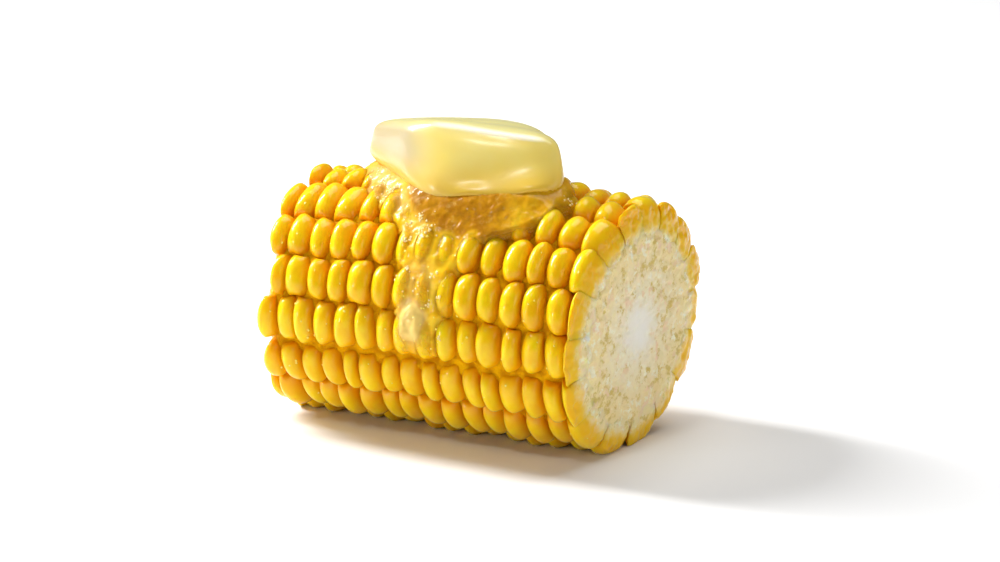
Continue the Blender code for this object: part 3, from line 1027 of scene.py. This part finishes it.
def bead_material():
    m = Shading("butter_foam")
    # The drops are butter yellow, painted brighter than the kernels as painted highlight for their sparkle.
    colour = m.mix(m.attribute("drop"), FOAM_CREAM, DROP_YELLOW_AND_SPARKLE)
    m.set(Base_Color=colour, Roughness=0.25, Specular_IOR_Level=0.5)
    m.set(Coat_Weight=1.0, Coat_Roughness=0.06, Coat_IOR=1.4)
    return m.material


def floor_material():
    m = Shading("white_floor")
    m.set(Base_Color=(FLOOR_WHITENESS,) * 3, Roughness=0.9, Specular_IOR_Level=0.0)
    return m.material


# ---------------------------------------------------------------- studio
CAMERA_AZIMUTH = 28.0
CAMERA_ELEVATION = 15.6
CAMERA_DISTANCE = 0.617
LENS = 118.6
SHIFT = (0.0254, 0.0235)

FLOOR_WHITENESS = 0.9
WORLD_STRENGTH = 0.10
# Softboxes: name, azimuth, elevation, distance, width and height, share of the floor's light.
LIGHTS = (
    ("key", -89.0, 38.0, 0.65, (0.14, 0.40), 0.90),
    ("overhead", 170.0, 70.0, 1.0, (0.7, 0.7), 0.46),
    ("front_box", -5.0, 50.0, 0.9, (0.08, 0.08), 0.075),
    ("front_low", -35.0, 15.0, 1.3, (1.2, 0.5), 0.010),
    ("front_left_card", -36.0, 6.0, 0.9, (0.13, 0.2), 0.018),
    ("right_low", 88.0, 15.0, 1.3, (1.2, 0.5), 0.05),
)
LIGHTS_AIM = (0, 0, 0.025)
FLOOR_REACH = 12.0
CLIP = (0.01, 20.0)


def towards(azimuth, elevation):
    """The direction out from the cob. Azimuth 0 is on the -Y side, and 90 on the +X side."""
    a, e = math.radians(azimuth), math.radians(elevation)
    return Vector((math.sin(a) * math.cos(e), -math.cos(a) * math.cos(e), math.sin(e)))


def add_camera():
    """Looks at the axis, half-way along, from a little above and to the right of square on."""
    back = towards(CAMERA_AZIMUTH, CAMERA_ELEVATION)
    target = Vector((FAR_X + LENGTH / 2, AXIS_Y, axis_z(NEAR[0])))
    data = bpy.data.cameras.new("camera")
    data.lens = LENS
    data.shift_x, data.shift_y = SHIFT
    data.clip_start, data.clip_end = CLIP
    camera = bpy.data.objects.new("camera", data)
    camera.location = target + back * CAMERA_DISTANCE
    camera.rotation_mode = "QUATERNION"
    camera.rotation_quaternion = (-back).to_track_quat("-Z", "Y")
    bpy.context.scene.collection.objects.link(camera)
    bpy.context.scene.camera = camera


def add_light(name, azimuth, elevation, distance, size, share):
    """A softbox that faces the cob.

    share is how much light it alone would throw back from the floor, where 1 is white.
    """
    away = towards(azimuth, elevation)
    data = bpy.data.lights.new(name, "AREA")
    data.shape = "RECTANGLE"
    data.size, data.size_y = size
    data.energy = share * (math.pi * distance) ** 2 / (FLOOR_WHITENESS * math.sin(math.radians(elevation)))
    light = bpy.data.objects.new(name, data)
    light.location = Vector(LIGHTS_AIM) + away * distance
    light.rotation_mode = "QUATERNION"
    light.rotation_quaternion = (-away).to_track_quat("-Z", "Y")
    bpy.context.scene.collection.objects.link(light)


def add_studio():
    mesh = bpy.data.meshes.new("floor")
    corners = [(x * FLOOR_REACH, y * FLOOR_REACH, 0.0) for x, y in ((-1, -1), (1, -1), (1, 1), (-1, 1))]
    mesh.from_pydata(corners, [], [(0, 1, 2, 3)])
    mesh.materials.append(floor_material())
    floor = bpy.data.objects.new("floor", mesh)
    bpy.context.scene.collection.objects.link(floor)
    world = bpy.data.worlds.new("studio")
    world.use_nodes = True
    background = world.node_tree.nodes["Background"]
    background.inputs["Color"].default_value = (1.0, 1.0, 1.0, 1.0)
    background.inputs["Strength"].default_value = WORLD_STRENGTH
    bpy.context.scene.world = world
    for light in LIGHTS:
        add_light(*light)
    bpy.context.scene.view_settings.view_transform = "Standard"


def main():
    add_camera()
    add_studio()
    tree = add_kernel_rows(kernel_material())
    add_core(core_material())
    pat_tree = add_pat(butter_material())
    film_tree = add_film(tree, pat_tree, film_material())
    add_beads((tree, film_tree), bead_material())


main()
